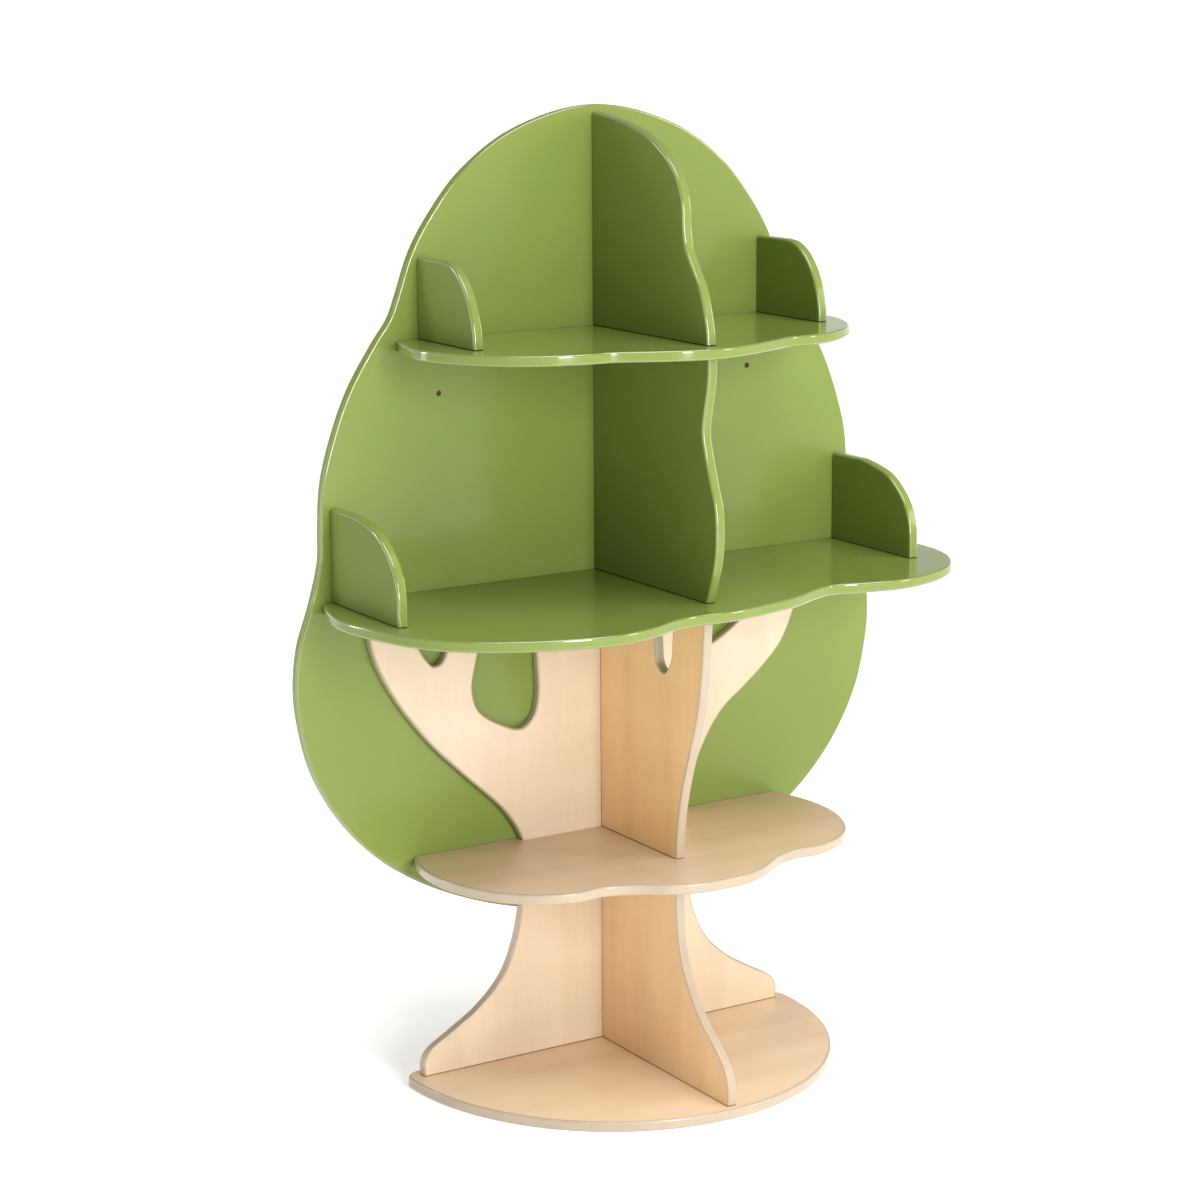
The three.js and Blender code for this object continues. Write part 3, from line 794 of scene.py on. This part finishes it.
def green_paint(name, tone, shine, sharpest, dullest, coat=0):
    """Sprayed paint: an even colour with faint clouding, and the lightest orange peel."""
    shader = Shader(name, specular_ior_level=shine, coat_weight=coat, coat_roughness=0.06)
    where = shader.coordinates()
    clouding = shader.noise(where, scale=4, detail=3, roughness=0.6)
    colour = shader.ramp(clouding, tone, shifted(tone, CLOUD_LIFT))
    pigment = shader.noise(where, scale=900)
    colour = shader.shaded(colour, pigment, amount=0.05, dark=(225, 225, 225), low=0.2, high=0.8)
    shader.use("Base Color", colour)
    shader.use_roughness(shader.noise(where, scale=3), sharpest, dullest)
    shader.use_bump(shader.noise(where, scale=180, detail=1), strength=0.02, distance=0.0003)
    return shader.material


def maple(name, grain_axis, tone, place_in_log):
    """Lacquered maple veneer of one tone: faint bands, fine fibres and short flecks along one axis."""
    shader = Shader(name, coat_weight=0.3, coat_roughness=0.22)

    def stretched(share):
        """Coordinates in which a noise is drawn out along the grain by one over the share."""
        stretch = [1, 1, 1]
        stretch[grain_axis] = share
        return shader.coordinates(stretch, [place_in_log] * 3)

    along = stretched(GRAIN_SHARE)
    bands = shader.noise(along, scale=26, detail=3, distortion=0.5)
    colour = shader.ramp(bands, shifted(tone, -BAND_DEPTH), shifted(tone, CLOUD_LIFT))
    figure = shader.node("TexWave", {
        "Vector": along,
        "Scale": 7,
        "Distortion": 8,
        "Detail": 3,
        "Detail Scale": 1.2,
        "Detail Roughness": 0.6,
    }, wave_type="BANDS", bands_direction="DIAGONAL").outputs["Fac"]
    colour = shader.shaded(colour, figure, amount=0.07, dark=(222, 188, 140), low=0, high=0.6)
    fibres = shader.noise(along, scale=560, detail=5, roughness=0.65)
    colour = shader.shaded(colour, fibres, amount=0.08, dark=(206, 176, 134), low=0.36, high=0.6)
    flecks = shader.noise(stretched(FLECK_SHARE), scale=520)
    colour = shader.shaded(colour, flecks, amount=0.08, dark=(196, 152, 108), low=0.26, high=0.36)
    curl = shader.noise(stretched(1 / FLECK_SHARE), scale=5)
    colour = shader.shaded(colour, curl, amount=0.1, dark=(228, 204, 170), low=0.35, high=0.65)
    shader.use("Base Color", colour)
    shader.use_roughness(fibres, sharpest=0.36, dullest=0.46)
    shader.use_bump(fibres, strength=0.08, distance=0.0002)
    return shader.material


def sanded_edge():
    """The rounded edge of the maple boards, where the dense core shows through clear lacquer."""
    shader = Shader("maple_edge", coat_weight=0.5, coat_roughness=0.1)
    where = shader.coordinates()
    clouding = shader.noise(where, scale=30, detail=4, roughness=0.6)
    dark_core, pale_core = (173, 156, 134), (179, 162, 139)
    colour = shader.ramp(clouding, dark_core, pale_core)
    grit = shader.noise(where, scale=1500, detail=3, roughness=0.7)
    colour = shader.shaded(colour, grit, amount=0.2, dark=(186, 160, 132), low=0.35, high=0.6)
    shader.use("Base Color", colour)
    shader.use_roughness(shader.noise(where, scale=60, detail=3), sharpest=0.34, dullest=0.44)
    shader.use_bump(grit, strength=0.06, distance=0.0002)
    return shader.material


def zinc():
    """Bright zinc plate with a faint yellow cast and fine turning marks."""
    shader = Shader("screw_steel", metallic=1)
    where = shader.coordinates()
    clouding = shader.noise(where, scale=700, detail=3, roughness=0.6)
    dull_zinc, bright_zinc = (176, 174, 166), (206, 205, 200)
    shader.use("Base Color", shader.ramp(clouding, dull_zinc, bright_zinc))
    shader.use_roughness(shader.noise(where, scale=2400), sharpest=0.28, dullest=0.42)
    return shader.material


def beech():
    """Bare turned beech with fibres drawn out along it."""
    shader = Shader("beech")
    along = shader.coordinates(stretch=(1, 1, 0.1))
    fibres = shader.noise(along, scale=900, detail=4, roughness=0.65)
    dark_fibre, pale_fibre = (196, 156, 108), (226, 190, 144)
    shader.use("Base Color", shader.ramp(fibres, dark_fibre, pale_fibre, low=0.35, high=0.65))
    shader.use_roughness(fibres, sharpest=0.6, dullest=0.75)
    shader.use_bump(fibres, strength=0.2, distance=0.0002)
    return shader.material


def studio_floor():
    """Matt white paper, with hardly visible clouding."""
    shader = Shader("studio_floor", emission_color=WHITE, emission_strength=FLOOR_GLOW)
    clouding = shader.noise(shader.coordinates(), scale=3)
    dull_paper, clean_paper = (249, 249, 249), (252, 252, 252)
    shader.use("Base Color", shader.ramp(clouding, dull_paper, clean_paper))
    shader.use_roughness(clouding, sharpest=0.85, dullest=0.95)
    return shader.material


def add_board(node, mesh, cutters, materials):
    """The finished board that stands for a node."""
    for material in materials:
        mesh.materials.append(material)
    piece = add_object(node + "_look", mesh)
    for cutter in cutters:
        carve(piece, cutter)
    shade_smoothly(piece)
    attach(piece, "root")
    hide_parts(node)


def add_green_boards(holes, core):
    gloss = green_paint("green_gloss", GREEN_FACE, shine=0.27, sharpest=0.15, dullest=0.19)
    shelf_gloss = green_paint("green_shelf_gloss", GREEN_FACE, shine=0.45, sharpest=0.15, dullest=0.19)
    # The fins and bookends take the face paint with less gloss and a darker tone, which is painted shade
    shaded_satin = green_paint("green_satin_shaded", GREEN_SATIN_SHADED, shine=0.05, sharpest=0.32, dullest=0.4)
    # The roundovers take a darker green with more gloss; the darker tone is painted shade
    edge = green_paint("green_edge", GREEN_RIM_SHADED, shine=0.8, sharpest=0.08, dullest=0.12, coat=0.8)
    # Painted shade for the line beside each sawn end
    joint_shade = joint_shade_paint("green_joint_shade", GREEN_JOINT_SHADE_DARK, GREEN_JOINT_SHADE)
    meshes = {
        "crown_panel": crown_mesh(),
        "middle_shelf": shelf_mesh("middle_shelf", MIDDLE_SHELF_SHARES),
        "top_shelf": shelf_mesh("top_shelf", TOP_SHELF_SHARES),
        "upper_fin": fin_mesh("upper_fin", [UPPER_FIN_SHARES], top_run=0),
        "middle_fin": fin_mesh("middle_fin", [MIDDLE_FIN_SHARES]),
    }
    face_paints = {
        "middle_shelf": shelf_gloss,
        "top_shelf": shelf_gloss,
        "upper_fin": shaded_satin,
        "middle_fin": shaded_satin,
    }
    for node, mesh in meshes.items():
        face_paint = face_paints.get(node, gloss)
        add_board(node, mesh, [holes], [face_paint, edge, core, joint_shade, gloss])
    for side in ("left", "right"):
        for shelf, shares in (("top", TOP_BOOKEND_SHARES), ("middle", MIDDLE_BOOKEND_SHARES)):
            node = f"{shelf}_{side}_bookend"
            mesh = bookend_mesh(node, shares)
            add_board(node, mesh, [holes], [shaded_satin, edge, core, joint_shade, gloss])


def add_maple_boards(holes, core):
    edge = sanded_edge()
    # Painted shade for the line beside each sawn end
    joint_shade = joint_shade_paint("maple_joint_shade", MAPLE_JOINT_SHADE_DARK, MAPLE_JOINT_SHADE)
    slot_cutter = trunk_slot_cutter()
    lower_half = [(-a, b) for a, b in LOWER_SHELF_HALF_SHARES]
    lower_shelf = shelf_mesh("lower_shelf", [*lower_half, (0, 1), *reversed(LOWER_SHELF_HALF_SHARES)])
    lower_fin = fin_mesh("lower_fin", [LOWER_FIN_SHARES, LOWER_FIN_NOTCH_SHARES])
    base_fin = fin_mesh("base_fin", [BASE_FIN_SHARES])
    across, up = 0, 2
    boards = [
        ("trunk_panel", trunk_mesh(), [holes], up),
        ("base_panel", base_mesh(), [holes], across),
        ("lower_shelf", lower_shelf, [holes, slot_cutter], across),
        ("lower_fin", lower_fin, [holes], up),
        ("base_fin", base_fin, [holes], up),
    ]
    for number, (node, mesh, cutters, grain_axis) in enumerate(boards):
        veneer = maple(node + "_maple", grain_axis, MAPLE_TONES[node], number * VENEER_STEP)
        add_board(node, mesh, cutters, [veneer, edge, core, joint_shade, edge])
    bpy.data.objects.remove(slot_cutter)


def add_hardware():
    """Screws and dowels, those of one size from one mesh."""
    steel, wood = zinc(), beech()
    screws = {}
    for node in screw_nodes:
        place, length = screw_place(node)
        size = round(length, LENGTH_PLACES)
        if size not in screws:
            screws[size] = screw_mesh(size)
            screws[size].materials.append(steel)
        add_fastener(node, screws[size], place)
    low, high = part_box(dowel_nodes[0])
    dowel = dowel_mesh(high.z - low.z, (high.x - low.x) / 2)
    dowel.materials.append(wood)
    for node in dowel_nodes:
        low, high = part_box(node)
        add_fastener(node, dowel, Matrix.Translation((low + high) / 2))


def add_fastener(node, mesh, place):
    piece = add_object(node + "_look", mesh)
    piece.matrix_world = place
    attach(piece, "root")
    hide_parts(node)


def add_floor():
    bm = bmesh.new()
    bmesh.ops.create_grid(bm, x_segments=1, y_segments=1, size=FLOOR_SIDE / 2)
    floor = add_object("floor", to_mesh(bm, "floor"))
    floor.data.materials.append(studio_floor())


def add_light(name, light, place, way):
    lamp = add_object(name, light)
    lamp.location = place
    lamp.rotation_mode = "QUATERNION"
    lamp.rotation_quaternion = way.to_track_quat("-Z", "Y")


def add_soft_box(name, place, size, power, colour):
    light = bpy.data.lights.new(name, "AREA")
    light.color = colour
    light.shape = "RECTANGLE"
    light.size, light.size_y = size
    light.energy = power
    add_light(name, light, place, Vector(LIGHT_TARGET) - Vector(place))


def add_overhead_light():
    """The glow of a white ceiling, which lights the floor evenly however far it goes."""
    light = bpy.data.lights.new("overhead_light", "SUN")
    light.angle = OVERHEAD_SPREAD
    light.energy = OVERHEAD_STRENGTH
    add_light("overhead_light", light, OVERHEAD_FROM, -Vector(OVERHEAD_FROM))


def add_world():
    """White all round, as a studio's walls are, and dimmer overhead."""
    world = bpy.data.worlds.new("studio")
    world.use_nodes = True
    tree = world.node_tree
    background = tree.nodes["Background"]
    background.inputs["Color"].default_value = WHITE
    way = tree.nodes.new("ShaderNodeTexCoord").outputs["Generated"]
    parts = tree.nodes.new("ShaderNodeSeparateXYZ")
    tree.links.new(way, parts.inputs["Vector"])
    fade = tree.nodes.new("ShaderNodeMapRange")
    fade.interpolation_type = "SMOOTHSTEP"
    fade.inputs["From Min"].default_value = HORIZON_TOP
    fade.inputs["From Max"].default_value = ZENITH_START
    fade.inputs["To Min"].default_value = HORIZON_STRENGTH
    fade.inputs["To Max"].default_value = ZENITH_STRENGTH
    tree.links.new(parts.outputs["Z"], fade.inputs["Value"])
    tree.links.new(fade.outputs["Result"], background.inputs["Strength"])
    bpy.context.scene.world = world


def add_camera():
    """A level camera turned to the right by the yaw, tipped down by the pitch and then rolled."""
    ahead = Vector((
        math.sin(CAMERA_YAW) * math.cos(CAMERA_PITCH),
        math.cos(CAMERA_YAW) * math.cos(CAMERA_PITCH),
        -math.sin(CAMERA_PITCH),
    ))
    level = Vector((math.cos(CAMERA_YAW), -math.sin(CAMERA_YAW), 0))
    above = level.cross(ahead)
    cos_roll, sin_roll = math.cos(CAMERA_ROLL), math.sin(CAMERA_ROLL)
    across = cos_roll * level + sin_roll * above
    upward = cos_roll * above - sin_roll * level
    lens = bpy.data.cameras.new("camera")
    lens.lens = CAMERA_LENS
    camera = add_object("camera", lens)
    camera.matrix_world = basis(across, upward, -ahead, CAMERA_PLACE)
    bpy.context.scene.camera = camera


drill = hole_cutter()
core = raw_core()
add_green_boards(drill, core)
add_maple_boards(drill, core)
bpy.data.objects.remove(drill)
add_hardware()
add_floor()
add_soft_box("key_light", KEY_PLACE, KEY_SIZE, KEY_POWER, KEY_COLOUR)
add_soft_box("fill_light", FILL_PLACE, FILL_SIZE, FILL_POWER, FILL_COLOUR)
add_soft_box("rim_light", RIM_PLACE, RIM_SIZE, RIM_POWER, RIM_COLOUR)
add_overhead_light()
add_world()
add_camera()
bpy.context.scene.view_settings.view_transform = "Standard"
